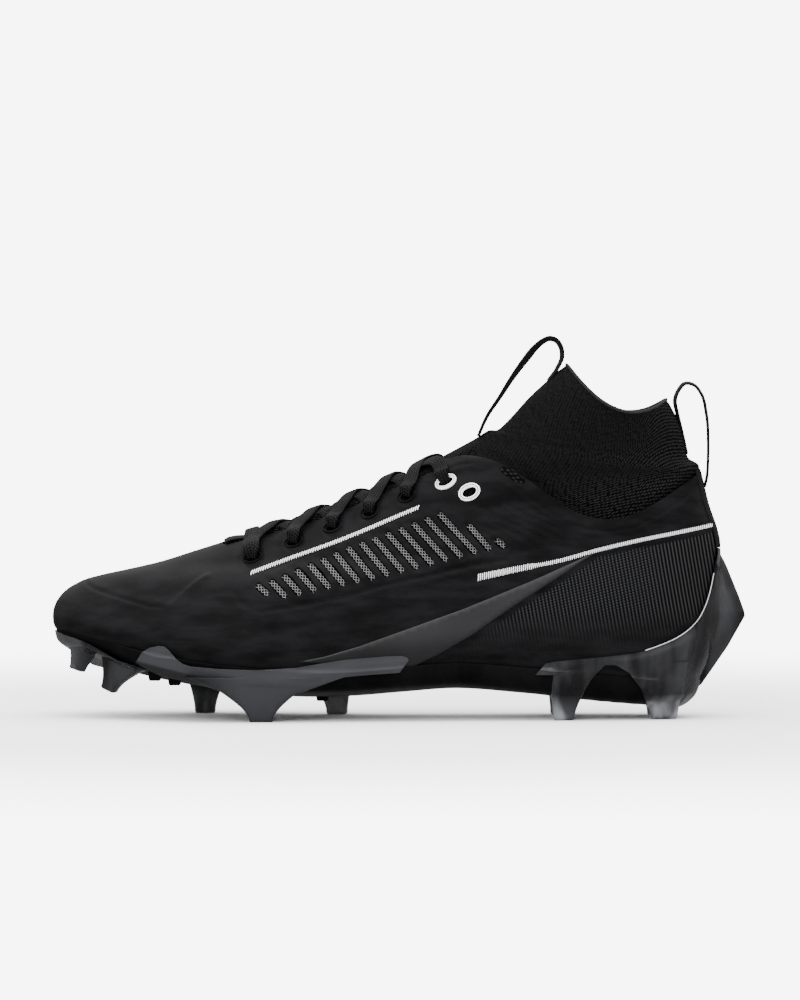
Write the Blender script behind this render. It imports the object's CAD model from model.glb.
"""Looks of the football cleat: moulded skin, knit collar, laces, grey plastic and studs.

Everything lies on one body function, the same as the part's: closed rings that run round the foot
from the middle of the sole up to the collar. The toe points to -X and the outer side faces -Y.
"""

import math

import bmesh
import bpy
import numpy as np
from mathutils import Matrix, Vector
from mathutils.bvhtree import BVHTree
from mathutils.geometry import delaunay_2d_cdt


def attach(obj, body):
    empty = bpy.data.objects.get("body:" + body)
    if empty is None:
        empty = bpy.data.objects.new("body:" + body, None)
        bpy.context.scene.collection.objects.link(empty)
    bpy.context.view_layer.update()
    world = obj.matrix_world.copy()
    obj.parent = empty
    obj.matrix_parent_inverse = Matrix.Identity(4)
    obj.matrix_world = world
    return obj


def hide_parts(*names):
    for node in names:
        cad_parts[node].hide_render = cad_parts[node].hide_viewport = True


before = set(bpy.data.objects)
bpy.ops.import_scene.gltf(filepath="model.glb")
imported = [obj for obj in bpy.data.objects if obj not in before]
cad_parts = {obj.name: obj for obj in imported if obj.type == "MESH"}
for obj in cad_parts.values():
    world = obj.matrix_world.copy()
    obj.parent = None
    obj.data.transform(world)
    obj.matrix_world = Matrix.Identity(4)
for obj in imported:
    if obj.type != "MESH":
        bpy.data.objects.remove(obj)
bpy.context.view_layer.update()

MM = 0.001
UPPER_LENGTH = 284.5 * MM
BALL_WIDTH = 97 * MM
COLLAR_HEIGHT = 151 * MM
CENTRE = np.array((-5.64, 3.01, 0.0)) * MM

SKIN_WALL = 1.6 * MM
KNIT_WALL = 1.9 * MM
PLATE_WALL = 2.4 * MM
PLATE_RIM = 0.7 * MM
CLIP_WALL = 1.6 * MM
CLIP_EDGE = 3.5 * MM
CLIP_SINK = 0.2 * MM
INSOLE_WALL = 3.5 * MM
FIT_GAP = 0.3 * MM
PLATE_TOP = 0.45
TOP_LEVEL = 12.0
RIM_LEVEL = 11.62
SKIN_LEVEL = 8.6
MERGE = 0.004 * MM
REACH = BALL_WIDTH
FAR_ASIDE = 2 * BALL_WIDTH
FAR_UP = 2 * COLLAR_HEIGHT
SIDES = (-1, 1)


def pairs(*thousandths):
    """Table of two columns out of numbers in thousandths."""
    return np.reshape(thousandths, (-1, 2)) / 1000


# Rings of the body in thousandths: back x, back z, front x, front z, rocker, lean, dip, seven half girths
RINGS = np.reshape((
    868, 57, 65, 178, 1000, 0, 0, 0, 0, 0, 0, 0, 0, 0,
    925, 54, 31, 214, 1000, 0, 0, 450, 360, 268, 258, 412, 454, 495,
    952, 79, 14, 234, 1000, 0, 0, 619, 474, 356, 340, 510, 567, 640,
    979, 161, 2, 271, 750, 0, 0, 701, 536, 407, 387, 562, 629, 711,
    992, 275, 9, 331, 350, 200, 0, 680, 526, 402, 371, 510, 505, 485,
    998, 388, 59, 394, 100, 500, 0, 639, 515, 392, 345, 428, 371, 320,
    1000, 482, 158, 439, 0, 750, 0, 598, 479, 369, 318, 320, 294, 278,
    995, 535, 259, 499, 0, 900, 0, 546, 446, 357, 299, 278, 242, 212,
    983, 601, 371, 561, 0, 1000, 0, 474, 412, 340, 273, 258, 218, 185,
    973, 677, 499, 663, 0, 1000, 0, 412, 378, 335, 283, 258, 222, 188,
    968, 705, 617, 771, 0, 1000, 13, 381, 356, 320, 283, 263, 235, 205,
    953, 737, 653, 810, 0, 1000, 20, 371, 340, 309, 283, 263, 258, 253,
    948, 785, 674, 820, 0, 1000, 33, 351, 325, 304, 283, 268, 263, 258,
    941, 836, 717, 909, 0, 1000, 53, 320, 309, 294, 283, 273, 268, 263,
    923, 901, 771, 1000, 0, 1000, 79, 299, 294, 289, 283, 278, 278, 273,
), (-1, 14)) / 1000
RING_STOPS = (0.0, 0.1, 0.25, 0.5, 0.75, 0.9, 1.0)
SPINE = -2.0
# How far the middle line swings to the inner side, along the length, as a share of BALL_WIDTH
SOLE_SWING = pairs(
    0, 98, 30, 93, 70, 77, 130, 41, 200, 3, 280, -36, 350, -46, 450, -54, 550, -55, 650, -34, 750, -15, 900, 0,
    1000, 0,
)
INSTEP_SWING = pairs(0, 98, 60, 80, 160, 48, 260, 28, 370, 16, 500, 10, 600, 5, 800, 0, 1000, 0)
# How far the sole's rings rise along the length, as a share of COLLAR_HEIGHT
SOLE_ROCKER = pairs(
    0, 0, 50, -3, 85, -12, 120, -26, 200, -46, 270, -53, 375, -55, 450, -41, 526, -18, 600, 3, 700, 5, 810, 0,
    1000, 0,
)

# Side outlines and lines: share of UPPER_LENGTH from the toe, share of COLLAR_HEIGHT
TOP_LINE = pairs(
    550, 700, 566, 722, 594, 733, 617, 742, 639, 739, 658, 731, 682, 711, 711, 677, 749, 625, 787, 582,
    810, 569, 831, 564, 864, 574, 892, 599, 920, 630, 949, 666, 968, 688, 1030, 750,
)
# Length share, and half of the throat's opening in mm
THROAT_PLAN = ((0.255, 2.8), (0.262, 5.2), (0.275, 6.1), (0.32, 6.7), (0.42, 7.7), (0.52, 9.4), (0.585, 10.4))
EYELETS = pairs(301, 456, 362, 500, 420, 542, 476, 584, 531, 630, 590, 668, 625, 640)
VENT_KEYS = (0, 1, 7, 14, 15, 16)
VENT_TOPS = pairs(308, 385, 328, 397, 442, 488, 578, 582, 622, 550, 663, 509)
VENT_ENDS = pairs(327, 355, 353, 348, 483, 396, 635, 468, 656, 477, 678, 485)
VENT_COUNT = 17
VENT_WIDTH = 2.4 * MM
VENT_DEPTH = 1.15 * MM
LOW_EYELETS = 5
HOLE = (2.75 * MM, 2.1 * MM)
RIB_PITCH = 1.55 * MM
TONGUE_HALF = 18 * MM


def cubic(u, low, high, low_rise, high_rise):
    """Cubic from low to high over u in 0..1, with the rise it has at both ends."""
    return (
        (2 * u**3 - 3 * u**2 + 1) * low
        + (u**3 - 2 * u**2 + u) * low_rise
        + (3 * u**2 - 2 * u**3) * high
        + (u**3 - u**2) * high_rise
    )


def smooth(knots, values, at):
    """Smooth curve through rows of values, as cubic pieces with slopes taken from the neighbours."""
    knots, values = np.asarray(knots, float), np.asarray(values, float)
    at = np.clip(np.asarray(at, float), knots[0], knots[-1])
    i = np.clip(np.searchsorted(knots, at, side="right") - 1, 0, len(knots) - 2)
    slopes = np.gradient(values, knots, axis=0)
    step = knots[i + 1] - knots[i]
    u = (at - knots[i]) / step
    if values.ndim > 1:
        u, step = u[..., None], step[..., None]
    return cubic(u, values[i], values[i + 1], step * slopes[i], step * slopes[i + 1])


def table_curve(table, at):
    knots, values = np.array(table, float).T
    return smooth(knots, values, at)


def along(share):
    """X of a length share from the toe."""
    return (np.asarray(share, float) - 0.5) * UPPER_LENGTH + CENTRE[0]


def share_of(x):
    return (x - CENTRE[0]) / UPPER_LENGTH + 0.5


def side_points(table):
    """A table of side shares as points in metres."""
    table = np.array(table, float)
    return np.column_stack([along(table[:, 0]), table[:, 1] * COLLAR_HEIGHT])


def body(levels, angles):
    """Points of the body: a grid with a row for each level and a column for each ring angle."""
    knots = np.arange(len(RINGS)) + SPINE
    grid = np.zeros((len(levels), len(angles), 3))
    t = (1 - np.cos(angles)) / 2
    for r, level in enumerate(levels):
        row = smooth(knots, RINGS, np.array([level]))[0]
        back_x, back_z, front_x, front_z, rocker, lean, dip = row[:7]
        length = back_x + (front_x - back_x) * t
        height = back_z + (front_z - back_z) * t - dip * 4 * t * (1 - t)
        height += rocker * table_curve(SOLE_ROCKER, length)
        swing = (1 - lean) * table_curve(SOLE_SWING, length) + lean * table_curve(INSTEP_SWING, length)
        girth = smooth(RING_STOPS, row[7:], t)
        grid[r, :, 0] = along(length)
        grid[r, :, 1] = (swing - girth * np.sin(angles)) * BALL_WIDTH + CENTRE[1]
        grid[r, :, 2] = height * COLLAR_HEIGHT
    return grid


def grid_normals(grid, closed_spine=False):
    """Outward normals at the points of a body grid whose columns close round the shoe."""
    ahead = np.roll(grid, -1, axis=1)
    faces = np.cross(ahead[1:] - grid[:-1], grid[1:] - ahead[:-1])
    normals = np.zeros_like(grid)
    for rows in (slice(0, -1), slice(1, None)):
        normals[rows] += faces + np.roll(faces, 1, axis=1)
    if closed_spine:
        mirror = -np.arange(grid.shape[1]) % grid.shape[1]
        normals[0] += normals[0][mirror]
    normals /= np.maximum(np.linalg.norm(normals, axis=2, keepdims=True), 1e-12)
    return normals if normals[-1, grid.shape[1] // 4, 1] < 0 else -normals


def turn_angles(count):
    """Ring angles from the heel round the outer side to the toe and back on the inner side."""
    return np.arange(count) * 2 * math.pi / count


def grid_faces(rows, columns, start=0, closed=True, flip=False):
    """Quads of a grid of points, whose columns close round unless told otherwise."""
    index = np.arange(rows * columns).reshape(rows, columns) + start
    ahead = np.roll(index, -1, axis=1)
    if not closed:
        index, ahead = index[:, :-1], ahead[:, :-1]
    faces = np.stack([index[:-1], ahead[:-1], ahead[1:], index[1:]], axis=-1).reshape(-1, 4)
    return faces[:, ::-1] if flip else faces


def capped_faces(rows, columns):
    """Quads of a closed grid, then a flat face over its first and its last row."""
    ends = [list(range(columns)), list(range((rows - 1) * columns, rows * columns))]
    return [*grid_faces(rows, columns), *ends]


def grid_tree(grid):
    quads = grid_faces(*grid.shape[:2]).tolist()
    return BVHTree.FromPolygons([Vector(p) for p in grid.reshape(-1, 3)], quads)


TREE = grid_tree(body(np.arange(SPINE, TOP_LEVEL + 0.01, 0.1), turn_angles(320)))


def meet(start, way):
    """Point and outward normal where a ray first meets the body."""
    point, normal, _, _ = TREE.ray_cast(Vector(start), Vector(way))
    return point, normal if normal.dot(Vector(way)) < 0 else -normal


def on_side(x, z, side):
    """Point and outward normal where a line along Y meets the body from that side."""
    return meet((x, side * FAR_ASIDE, z), (0, -side, 0))


def lifted(x, z, side, height):
    """Point at a height over the body, at a place of the side view."""
    point, normal = on_side(x, z, side)
    return point + normal * height


def on_top(x, y):
    """Point and outward normal where a line down Z meets the body."""
    return meet((x, y, FAR_UP), (0, 0, -1))


def under_height(x, y):
    """Height of the body's underside at a plan position."""
    return TREE.ray_cast(Vector((x, y, -COLLAR_HEIGHT)), Vector((0, 0, 1)))[0].z


def top_line(x):
    return table_curve(TOP_LINE, share_of(x)) * COLLAR_HEIGHT


def throat_half(x):
    """Half of the throat's opening."""
    return np.interp(share_of(x), *np.array(THROAT_PLAN).T) * MM


def line_distance(x, z, line):
    """Distance in the side view from points to a broken line."""
    best = np.full(np.shape(x), 1e9)
    for (ax, az), (bx, bz) in zip(line[:-1], line[1:]):
        dx, dz = bx - ax, bz - az
        t = np.clip(((x - ax) * dx + (z - az) * dz) / (dx * dx + dz * dz), 0, 1)
        best = np.minimum(best, np.hypot(x - ax - t * dx, z - az - t * dz))
    return best


def inside(x, z, outline):
    """Whether points lie inside an outline of the side view."""
    hit = np.zeros(np.shape(x), bool)
    for (ax, az), (bx, bz) in zip(outline, np.roll(outline, -1, axis=0)):
        crosses = (az > z) != (bz > z)
        hit ^= crosses & (x < (bx - ax) * (z - az) / np.where(bz == az, 1e-12, bz - az) + ax)
    return hit


def soft_step(value, low, high):
    u = np.clip((value - low) / (high - low), 0, 1)
    return u * u * (3 - 2 * u)


def run_of(points):
    """Length of a line up to each of its points."""
    return np.concatenate([[0], np.cumsum(np.linalg.norm(np.diff(points, axis=0), axis=1))])


def unit(rows):
    return rows / np.linalg.norm(rows, axis=1, keepdims=True)


def curve_points(points, spacing):
    """Evenly spread points on a smooth curve through the given ones."""
    points = np.array([tuple(p) for p in points], float)
    knots = run_of(points)
    return smooth(knots, points, np.linspace(0, knots[-1], max(int(knots[-1] / spacing), 3) + 1))


# Meshes


def new_object(name, mesh):
    obj = bpy.data.objects.new(name, mesh)
    bpy.context.scene.collection.objects.link(obj)
    return obj


def from_arrays(name, verts, faces, uvs=None, values=None):
    """Object from arrays of points and faces, with UVs in mm and named values at its points."""
    mesh = bpy.data.meshes.new(name)
    mesh.from_pydata(np.asarray(verts).tolist(), [], [list(map(int, f)) for f in faces])
    if uvs is not None:
        layer = mesh.uv_layers.new(name="flat")
        loops = np.zeros(len(mesh.loops), int)
        mesh.loops.foreach_get("vertex_index", loops)
        layer.data.foreach_set("uv", (np.asarray(uvs)[loops] * 1000).ravel())
    for key, data in (values or {}).items():
        attribute = mesh.attributes.new(key, "FLOAT", "POINT")
        attribute.data.foreach_set("value", np.asarray(data, float).ravel())
    mesh.shade_smooth()
    return new_object(name, mesh)


def grid_uvs(grid):
    """Flat coordinates of a closed grid: the run round the shoe and the run up it, in metres."""
    steps = np.linalg.norm(np.roll(grid, -1, axis=1) - grid, axis=2).mean(0)
    across = np.concatenate([[0], np.cumsum(steps)[:-1]])
    rise = np.zeros(grid.shape[:2])
    rise[1:] = np.cumsum(np.linalg.norm(np.diff(grid, axis=0), axis=2), axis=0)
    return np.stack([np.broadcast_to(across, rise.shape), rise], axis=-1).reshape(-1, 2)


def shell(name, levels, angles, outer, inner, inner_step=1, values=None):
    """Hollow solid between two offsets of the body. Each offset is a grid or a number."""
    base = body(levels, angles)
    rows, columns = base.shape[:2]
    from_spine = levels[0] <= SPINE + 1e-6
    normals = grid_normals(base, closed_spine=from_spine)
    picks = sorted({*range(0, rows, inner_step), rows - 1})
    face, back = (
        base + normals * np.broadcast_to(np.asarray(offset, float), (rows, columns))[..., None]
        for offset in (outer, inner)
    )
    verts = np.concatenate([face.reshape(-1, 3), back[picks].reshape(-1, 3)])
    start = rows * columns
    faces = [*grid_faces(rows, columns), *grid_faces(len(picks), columns, start, flip=True)]
    ring = np.arange(columns)
    ahead = np.roll(ring, -1)
    last, inner_last = start - columns, start + (len(picks) - 1) * columns
    faces += list(np.stack([last + ring, last + ahead, inner_last + ahead, inner_last + ring], -1))
    if not from_spine:
        faces += list(np.stack([ring, start + ring, start + ahead, ahead], -1))
    uvs = grid_uvs(base)
    uvs = np.concatenate([uvs, uvs.reshape(rows, columns, 2)[picks].reshape(-1, 2)])
    named = {}
    for key, data in (values or {}).items():
        data = np.broadcast_to(data, (rows, columns))
        named[key] = np.concatenate([data.ravel(), data[picks].ravel()])
    return clean(from_arrays(name, verts, faces, uvs, named))


def clean(obj, merge=True):
    """Merges points that fall together, turns every face outwards and shades the piece smooth."""
    bm = bmesh.new()
    bm.from_mesh(obj.data)
    if merge:
        bmesh.ops.remove_doubles(bm, verts=bm.verts, dist=MERGE)
        bmesh.ops.dissolve_degenerate(bm, dist=MERGE, edges=bm.edges)
    bmesh.ops.recalc_face_normals(bm, faces=bm.faces)
    bm.to_mesh(obj.data)
    bm.free()
    obj.data.shade_smooth()
    return obj


def prism(name, outline, low, high, axis="Y"):
    """Cutter: an outline extruded along Y (points are x, z) or along Z (points are x, y)."""
    count = len(outline)
    verts = []
    for at in (low, high):
        verts += [(x, at, w) if axis == "Y" else (x, w, at) for x, w in outline]
    faces = [list(range(count)), list(range(count, 2 * count))]
    faces += [[i, (i + 1) % count, (i + 1) % count + count, i + count] for i in range(count)]
    return clean(from_arrays(name, verts, faces))


def loft(name, rings):
    """Closed solid through rings of the same number of points, with flat ends."""
    rings = np.asarray(rings, float)
    return clean(from_arrays(name, rings.reshape(-1, 3), capped_faces(*rings.shape[:2])))


def boolean(obj, cutters, operation="DIFFERENCE"):
    """Applies a boolean with each cutter in turn and drops the cutters."""
    for cutter in cutters:
        modifier = obj.modifiers.new("cut", "BOOLEAN")
        modifier.operation = operation
        modifier.object = cutter
        modifier.solver = "MANIFOLD"
        graph = bpy.context.evaluated_depsgraph_get()
        mesh = bpy.data.meshes.new_from_object(obj.evaluated_get(graph))
        obj.modifiers.clear()
        old, obj.data = obj.data, mesh
        bpy.data.meshes.remove(old)
        bpy.data.objects.remove(cutter)
    return obj


def joined(name, pieces):
    """One object from several."""
    first = pieces[0]
    with bpy.context.temp_override(
        active_object=first, selected_editable_objects=pieces, selected_objects=pieces, object=first
    ):
        bpy.ops.object.join()
    first.name = name
    return first


def dress(obj, material, nodes=(), sharp=None):
    """Gives a piece its material, the CAD nodes it stands for and, in degrees, its sharp edges."""
    obj.data.materials.clear()
    obj.data.materials.append(material)
    if sharp:
        obj.data.set_sharp_from_angle(angle=math.radians(sharp))
    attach(obj, "root")
    if nodes:
        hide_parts(*nodes)
    return obj


# Materials


class Shader:
    """Short way to build one Principled material out of math on coordinates and named values."""

    def __init__(self, name, colour, roughness, **settings):
        self.material = bpy.data.materials.new(name)
        self.material.use_nodes = True
        self.tree = self.material.node_tree
        self.main = self.tree.nodes["Principled BSDF"]
        self.main.inputs["Base Color"].default_value = (*colour, 1)
        self.main.inputs["Roughness"].default_value = roughness
        for key, value in settings.items():
            self.main.inputs[key.replace("_", " ")].default_value = value

    def node(self, kind, inputs=None, **settings):
        made = self.tree.nodes.new("ShaderNode" + kind)
        for key, value in settings.items():
            setattr(made, key, value)
        for key, value in (inputs or {}).items():
            self.feed(made.inputs[key], value)
        return made

    def feed(self, socket, value):
        if isinstance(value, bpy.types.NodeSocket):
            self.tree.links.new(value, socket)
        else:
            socket.default_value = value

    def math(self, operation, *values):
        return self.node("Math", dict(enumerate(values)), operation=operation).outputs[0]

    def add(self, a, b):
        return self.math("ADD", a, b)

    def mul(self, a, b):
        return self.math("MULTIPLY", a, b)

    def value(self, name):
        return self.node("Attribute", attribute_name=name).outputs["Fac"]

    def split(self, vector):
        return self.node("SeparateXYZ", {"Vector": vector}).outputs

    def uv(self):
        return self.split(self.node("UVMap", uv_map="flat").outputs[0])[:2]

    def place(self):
        return self.node("TexCoord").outputs["Object"]

    def noise(self, scale, detail=2.0, rise=None):
        """Noise. A rise below 1 draws it out along Z, and one above 1 flattens it."""
        vector = self.place()
        if rise:
            vector = self.node("Mapping", {"Vector": vector, "Scale": (1.0, 1.0, rise)}).outputs[0]
        return self.node("TexNoise", {"Scale": scale, "Detail": detail, "Vector": vector}).outputs["Fac"]

    def wave(self, phase):
        """From -1 to 1, once for every whole step of the phase."""
        return self.math("SINE", self.mul(phase, 2 * math.pi))

    def span(self, value, low, high, **settings):
        """A value between low and high as 0 to 1."""
        return self.node("MapRange", {"Value": value, "From Min": low, "From Max": high}, **settings).outputs[0]

    def mix(self, factor, low, high):
        """Colour between two others, each a link or three numbers."""
        low, high = ((*value, 1) if isinstance(value, tuple) else value for value in (low, high))
        return self.node("Mix", {0: factor, 6: low, 7: high}, data_type="RGBA").outputs[2]

    def ramp(self, factor, low, high, stops=(0.0, 1.0)):
        return self.mix(self.span(factor, *stops, interpolation_type="SMOOTHSTEP"), low, high)

    def colour(self, socket):
        self.feed(self.main.inputs["Base Color"], socket)

    def bump(self, height, distance, strength=1.0, edge=None):
        """Bump of a height in 0..1, distance metres deep, over edges rounded by edge metres."""
        made = self.node("Bump", {"Height": height, "Distance": distance, "Strength": strength})
        if edge:
            self.feed(made.inputs["Normal"], self.node("Bevel", {"Radius": edge}, samples=6).outputs[0])
        self.feed(self.main.inputs["Normal"], made.outputs[0])
        return self.material


def skin_material():
    """Moulded black skin: a fine grain, and where the mesh says so, knitted ribs."""
    s = Shader("skin", (0.005, 0.005, 0.0054), 0.46, Specular_IOR_Level=0.011)
    grain = s.noise(1500.0, 3.0)
    tone = s.noise(60.0, 5.0, rise=3.5)
    ribs, phase = s.value("ribs"), s.value("rib_phase")
    stagger = s.mul(s.math("FLOOR", phase), 0.5)
    ticks = s.wave(s.add(s.math("DIVIDE", s.uv()[1], 1.15), stagger))
    speck = s.mul(ticks, s.value("knit"))
    rib = s.mul(s.add(s.wave(phase), s.mul(speck, 0.8)), ribs)
    base = s.ramp(tone, (0.0021, 0.0021, 0.0023), (0.0048, 0.0048, 0.0052), (0.3, 0.7))
    ribbed = s.ramp(rib, (0.001, 0.001, 0.0011), (0.0185, 0.0185, 0.0195), (-0.7, 1.5))
    s.colour(s.mix(ribs, base, ribbed))
    s.feed(s.main.inputs["Roughness"], s.add(s.mul(ribs, 0.2), s.add(0.34, s.mul(tone, 0.16))))
    return s.bump(s.add(s.mul(rib, 0.5), s.mul(grain, 0.16)), 0.35 * MM, 0.8, edge=0.5 * MM)


def knit_material(name, pitch_u, pitch_v, low, high, depth):
    """Knit of staggered slanted stitches, each a little out of place, with a fine fibre over them."""
    s = Shader(name, high, 0.8, Specular_IOR_Level=0.02)
    u, v = s.uv()
    row = s.math("DIVIDE", v, pitch_v)
    column = s.add(s.math("DIVIDE", u, pitch_u), s.mul(row, 0.5))
    flat = s.node("CombineXYZ", {"X": column, "Y": row}).outputs[0]
    cells = s.node("TexVoronoi", {"Vector": flat, "Scale": 1.0, "Randomness": 0.26}, voronoi_dimensions="2D")
    near = s.math("SUBTRACT", 1.0, s.mul(cells.outputs["Distance"], 1.7))
    stitch = s.math("POWER", s.math("MAXIMUM", near, 0.0), 1.35)
    mixed = s.add(s.mul(stitch, 0.85), s.mul(s.noise(2600.0), 0.15))
    s.colour(s.ramp(mixed, low, high, (0.15, 0.95)))
    return s.bump(mixed, depth)


def weave_material(name, pitch, low, high, depth):
    """Flat woven webbing: chevrons of threads that run across its length."""
    s = Shader(name, high, 0.75, Specular_IOR_Level=0.05)
    u, v = s.uv()
    slant = s.mul(s.math("ABSOLUTE", v), 0.6)
    thread = s.math("ABSOLUTE", s.math("SINE", s.mul(s.add(u, slant), math.pi / pitch)))
    line = s.math("ABSOLUTE", s.math("SINE", s.mul(v, math.pi / (1.1 * pitch))))
    height = s.mul(s.add(thread, 0.25), s.add(s.mul(line, 0.7), 0.3))
    s.colour(s.ramp(height, low, high, (0.1, 1.0)))
    return s.bump(height, depth)


def plastic_material(name, low, high, streak, specular):
    """Moulded plastic with soft flow streaks."""
    s = Shader(name, high, 0.42, Specular_IOR_Level=specular)
    s.colour(s.ramp(s.noise(streak, 3.0, rise=0.25), low, high, (0.35, 0.7)))
    return s.bump(s.noise(700.0), 0.05 * MM, 0.5, edge=0.5 * MM)


def wing_material():
    """Grey of the side wing, darker on the facet that turns down towards the ground at its front."""
    s = Shader("wing_grey", WING_PALE, 0.45, Specular_IOR_Level=0.12)
    grey = s.ramp(s.noise(25.0, 3.0, rise=0.25), (0.0195, 0.02, 0.0222), WING_PALE, (0.35, 0.7))
    x, _, z = s.split(s.place())
    fall = {"From Min": -0.1115, "From Max": -0.0845, "To Min": 0.0262, "To Max": 0.0199}
    line = s.node("MapRange", {"Value": x, **fall}).outputs[0]
    facet = s.span(s.math("SUBTRACT", line, z), 0.0, 0.0009)
    s.colour(s.mix(s.mul(facet, s.span(x, -0.066, -0.083)), grey, (0.009, 0.009, 0.0098)))
    return s.bump(s.noise(700.0), 0.05 * MM, 0.5, edge=0.5 * MM)


def clear_material(name, edge):
    """Smoky plastic of the studs and the heel clip, paler and cloudier towards the ground."""
    s = Shader(name, (0.06, 0.06, 0.066), 0.2, Specular_IOR_Level=0.2)
    flow = s.noise(85.0, 2.5, rise=0.22)
    low = s.span(s.split(s.place())["Z"], 0.011, 0.002)
    dark = s.ramp(flow, (0.004, 0.004, 0.0043), (0.017, 0.0173, 0.0188), (0.38, 0.68))
    pale = s.ramp(flow, (0.03, 0.031, 0.033), (0.2, 0.205, 0.215), (0.42, 0.66))
    s.colour(s.mix(s.mul(low, s.value("pale")), dark, pale))
    return s.bump(flow, 0.15 * MM, 0.25, edge)


def plain_material(name, colour, roughness, grain=900.0, depth=0.05 * MM):
    s = Shader(name, colour, roughness)
    return s.bump(s.noise(grain), depth, 0.6)


WING_PALE = (0.0245, 0.025, 0.0272)
SKIN = skin_material()
KNIT = knit_material("knit", 1.2, 1.5, (0.0003, 0.0003, 0.0003), (0.018, 0.018, 0.019), 0.5 * MM)
LINING = knit_material("lining", 1.2, 1.0, (0.002, 0.002, 0.0022), (0.01, 0.01, 0.0105), 0.2 * MM)
VENT_DARK = knit_material("vent_dark", 1.2, 1.0, (0.0002, 0.0002, 0.0002), (0.0015, 0.0015, 0.0016), 0.2 * MM)
LACE = weave_material("lace_black", 1.1, (0.0002, 0.0002, 0.0002), (0.0072, 0.0072, 0.0076), 0.5 * MM)
WEBBING = weave_material("webbing", 0.8, (0.0015, 0.0015, 0.0016), (0.005, 0.005, 0.0054), 0.15 * MM)
WING_GREY = wing_material()
BAND = plastic_material("band_grey", (0.0058, 0.0058, 0.0063), (0.0086, 0.0086, 0.0093), 25.0, 0.12)
PLATE = plastic_material("plate", (0.0015, 0.0015, 0.0016), (0.003, 0.003, 0.0032), 60.0, 0.02)
CLEAR = clear_material("stud_grey", 0.25 * MM)
HEEL_CLEAR = clear_material("heel_grey", None)
WHITE = plain_material("trim_white", (0.8, 0.8, 0.81), 0.5)
EDGE = plain_material("clip_edge", (0.3, 0.3, 0.308), 0.35)
MESH_THREAD = plain_material("mesh_thread", (0.1, 0.1, 0.102), 0.7, 2500.0, 0.1 * MM)
THREAD = plain_material("thread_white", (0.68, 0.68, 0.69), 0.6, 2500.0, 0.1 * MM)
RIM = knit_material("rim_grey", 0.9, 0.8, (0.006, 0.006, 0.0065), (0.045, 0.0455, 0.047), 0.2 * MM)
WINDOW = knit_material("window_mesh", 2.2, 1.6, (0.0005, 0.0005, 0.0005), (0.012, 0.012, 0.0125), 0.5 * MM)

# Skin

TOE_GROOVE = side_points(pairs(50, 381, 54, 372, 63, 363, 95, 346, 127, 331, 150, 320, 176, 317))
TOE_RIDGE = side_points(pairs(176, 317, 186, 330, 198, 352, 214, 379, 234, 406))
VENT_GROOVE = side_points(pairs(
    277, 360, 283, 338, 298, 317, 318, 310, 350, 318, 444, 350, 500, 381, 627, 434, 680, 450,
))
SIDE_RIDGE = side_points(pairs(190, 240, 215, 252, 240, 258, 280, 262, 330, 280))
TOP_BORDER = side_points(pairs(
    588, 700, 607, 712, 630, 720, 649, 711, 665, 693, 690, 660, 720, 616, 762, 560, 800, 535, 835, 530,
    870, 540, 905, 575, 950, 628,
))
STITCH_A = side_points(((0.3015, 0.4145), (0.35, 0.448), (0.43, 0.502), (0.549, 0.5955)))
STITCH_B = side_points(pairs(638, 402.5, 700, 427, 760, 449, 815, 478, 869, 502, 931, 525, 988, 545))
BAND_TOP = side_points(pairs(370, 170, 410, 185, 460, 212, 530, 258, 620, 318, 720, 395, 815, 475))
BAND_LOW = side_points(pairs(815, 475, 770, 418, 695, 328, 627, 240, 580, 190, 540, 155))
HEEL_PANEL = side_points(pairs(
    815, 466, 869, 488, 931, 510, 1020, 545, 1020, 300, 965, 285, 930, 240, 880, 200, 820, 190, 750, 185,
    660, 190, 600, 190, 627, 230, 695, 318, 770, 408,
))
EYELET_POINTS = side_points(EYELETS)
WINDOW_OUTLINE = side_points(pairs(669, 707.5, 676, 712, 686, 707, 708, 674, 707.5, 664, 695, 667, 674, 693))
# Lines pressed into the skin or raised from it, with their height and width in mm
RELIEF = (
    (TOE_GROOVE, -0.6, 0.8), (TOE_GROOVE, 0.35, 2.4), (TOE_RIDGE, 0.6, 1.1), (VENT_GROOVE, -0.55, 1.2),
    (VENT_GROOVE - (0, 1.4 * MM), 0.35, 1.2), (TOP_BORDER, -0.45, 0.9), (TOP_BORDER, 0.5, 2.2),
)


def bell(distance, width):
    return np.exp(-((distance / width) ** 2))


def vent_ends(index):
    """Top and low end of a vent."""
    ends = [[np.interp(index, VENT_KEYS, column) for column in zip(*row)] for row in (VENT_TOPS, VENT_ENDS)]
    return side_points(ends)


def vent_frame(index):
    """Top and low end of a vent, and unit steps along it and across it."""
    top, end = vent_ends(index)
    run = (end - top) / np.linalg.norm(end - top)
    return top, end, run, np.array((-run[1], run[0]))


def panel_depth(x, z):
    """How far inside the ribbed heel panel points lie, and 0 outside it."""
    edge = line_distance(x, z, np.vstack([HEEL_PANEL, HEEL_PANEL[:1]]))
    return np.where(inside(x, z, HEEL_PANEL), edge, 0)


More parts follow.
